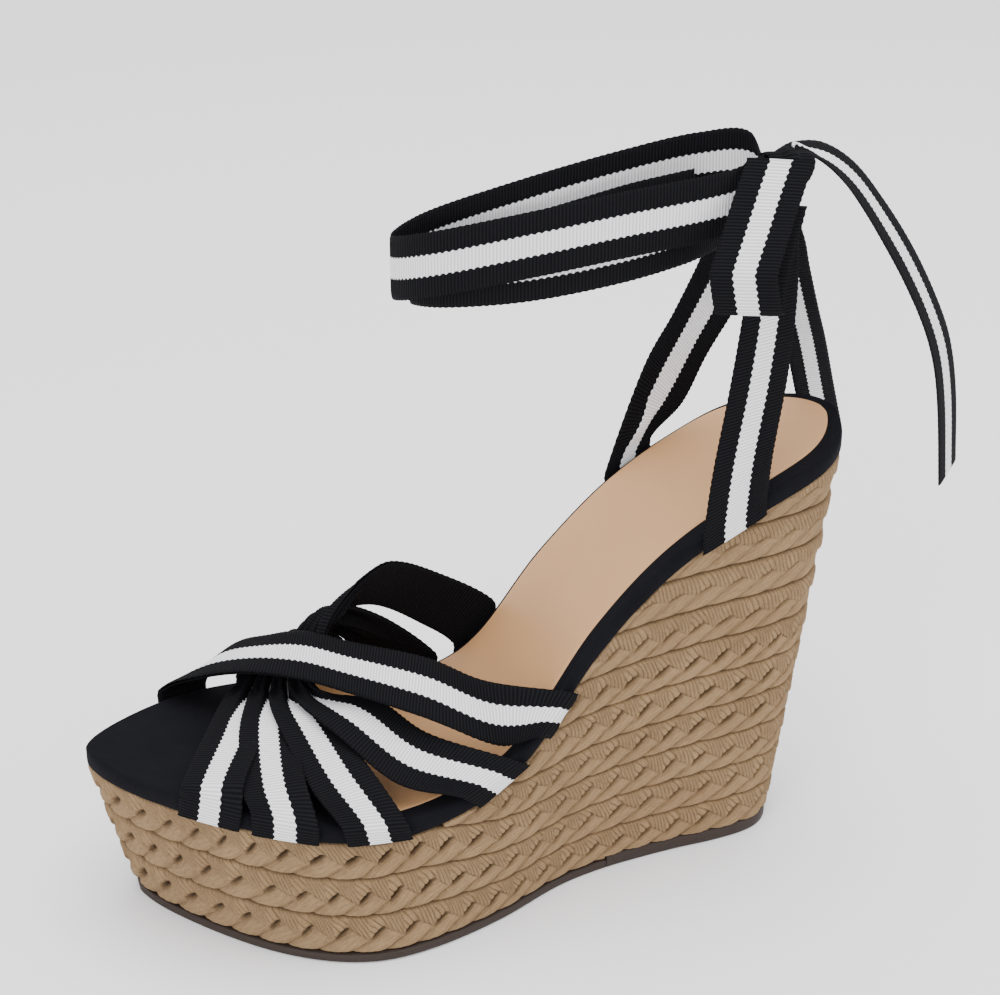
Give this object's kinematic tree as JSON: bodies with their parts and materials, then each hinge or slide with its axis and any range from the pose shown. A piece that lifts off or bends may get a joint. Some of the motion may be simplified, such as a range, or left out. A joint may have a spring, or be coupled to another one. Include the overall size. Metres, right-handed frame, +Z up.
{
  "type": "wedge sandal",
  "caption": "Open-toe espadrille wedge sandal for the left foot, with a braided jute wedge, a fan of striped ribbons over the toes and a ribbon tied round the ankle.",
  "frame": {"origin": "point of the outsole's flat underside beneath the waist, on the line through the toe and the heel", "axes": "+X from the toe to the heel, -Y to the outer side of the left foot, +Z up"},
  "size_m": [0.2511, 0.0852, 0.2125],
  "materials": {
    "jute": "rough braided jute",
    "rubber": "moulded brown rubber",
    "core": "pressed board and light foam, hidden",
    "foam": "latex foam, hidden",
    "black_fabric": "fine suede-like fabric",
    "leather": "smooth tan leather",
    "ribbon": "black and white grosgrain",
    "lining": "plain black lining"
  },
  "bodies": {
    "root": {"outsole": "rubber", "heel_lift": "rubber", "wedge_core": "core", "braid_row_01": "jute", "braid_row_02": "jute", "braid_row_03": "jute", "braid_row_04": "jute", "braid_row_05": "jute", "braid_row_06": "jute", "braid_row_07": "jute", "braid_row_08": "jute", "braid_row_09": "jute", "braid_row_10": "jute", "insole_board": "core", "foam_cushion": "foam", "footbed_cover": "black_fabric", "sock_lining": "leather", "cross_strap": "ribbon", "cross_strap_lining": "lining", "fan_ribbon_1": "ribbon", "fan_ribbon_1_lining": "lining", "fan_ribbon_2": "ribbon", "fan_ribbon_2_lining": "lining", "fan_ribbon_3": "ribbon", "fan_ribbon_3_lining": "lining", "fan_ribbon_4": "ribbon", "fan_ribbon_4_lining": "lining", "lateral_ankle_ribbon": "ribbon", "medial_ankle_ribbon": "ribbon", "bow_knot": "ribbon"},
    "loop": {"bow_loop": "ribbon"},
    "tail_long": {"long_tail": "ribbon"},
    "tail_short": {"short_tail": "ribbon"}
  },
  "joints": [
    {"name": "loop_swing", "type": "hinge", "parent": "root", "child": "loop", "pos_m": [0.0714, -0.0245, 0.2105], "axis": [1, 0, 0], "range_deg": [-35, 0]},
    {"name": "long_tail_swing", "type": "hinge", "parent": "root", "child": "tail_long", "pos_m": [0.0868, -0.006, 0.2051], "axis": [0, 1, 0], "range_deg": [-30, 14], "stiffness_Nm_per_rad": 0.02, "springref_deg": -1.72},
    {"name": "short_tail_swing", "type": "hinge", "parent": "root", "child": "tail_short", "pos_m": [0.0865, 0.006, 0.183], "axis": [0, 1, 0], "range_deg": [-30, 0], "stiffness_Nm_per_rad": 0.01, "springref_deg": -1.03}
  ]
}
